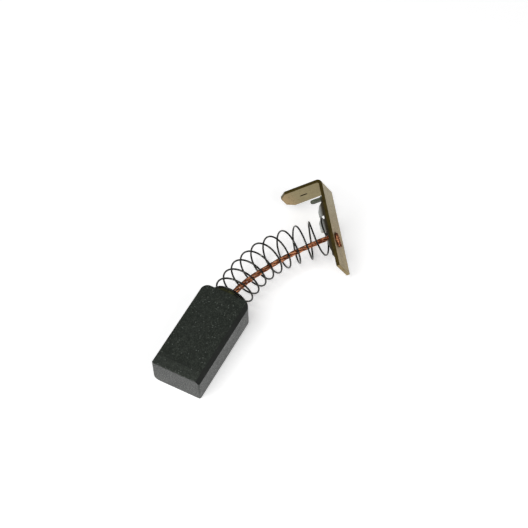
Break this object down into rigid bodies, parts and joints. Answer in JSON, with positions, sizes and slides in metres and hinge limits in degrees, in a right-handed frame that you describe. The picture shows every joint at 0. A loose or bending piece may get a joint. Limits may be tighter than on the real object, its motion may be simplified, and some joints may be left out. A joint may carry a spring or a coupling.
{
  "type": "carbon brush",
  "caption": "Rectangular carbon brush block with a helical pressure spring, a copper shunt inside it and a bent brass blade terminal.",
  "frame": {"origin": "centre of the carbon's contact face", "axes": "+X from the contact face through the block into the spring, +Y across the block's width, +Z across its thickness, up as the brush lies"},
  "size_m": [0.0619, 0.0253, 0.0106],
  "materials": {
    "carbon": null,
    "tamping_powder": "tamped copper and graphite powder, dull",
    "copper": null,
    "spring_steel": "drawn spring wire",
    "zinc_steel": "zinc plated",
    "brass": "cold rolled strip, satin"
  },
  "bodies": {
    "root": {"carbon_block": "carbon", "tamping_plug": "tamping_powder", "shunt_wire": "copper", "spring": "spring_steel", "spring_seat": "zinc_steel", "terminal": "brass"}
  },
  "joints": []
}
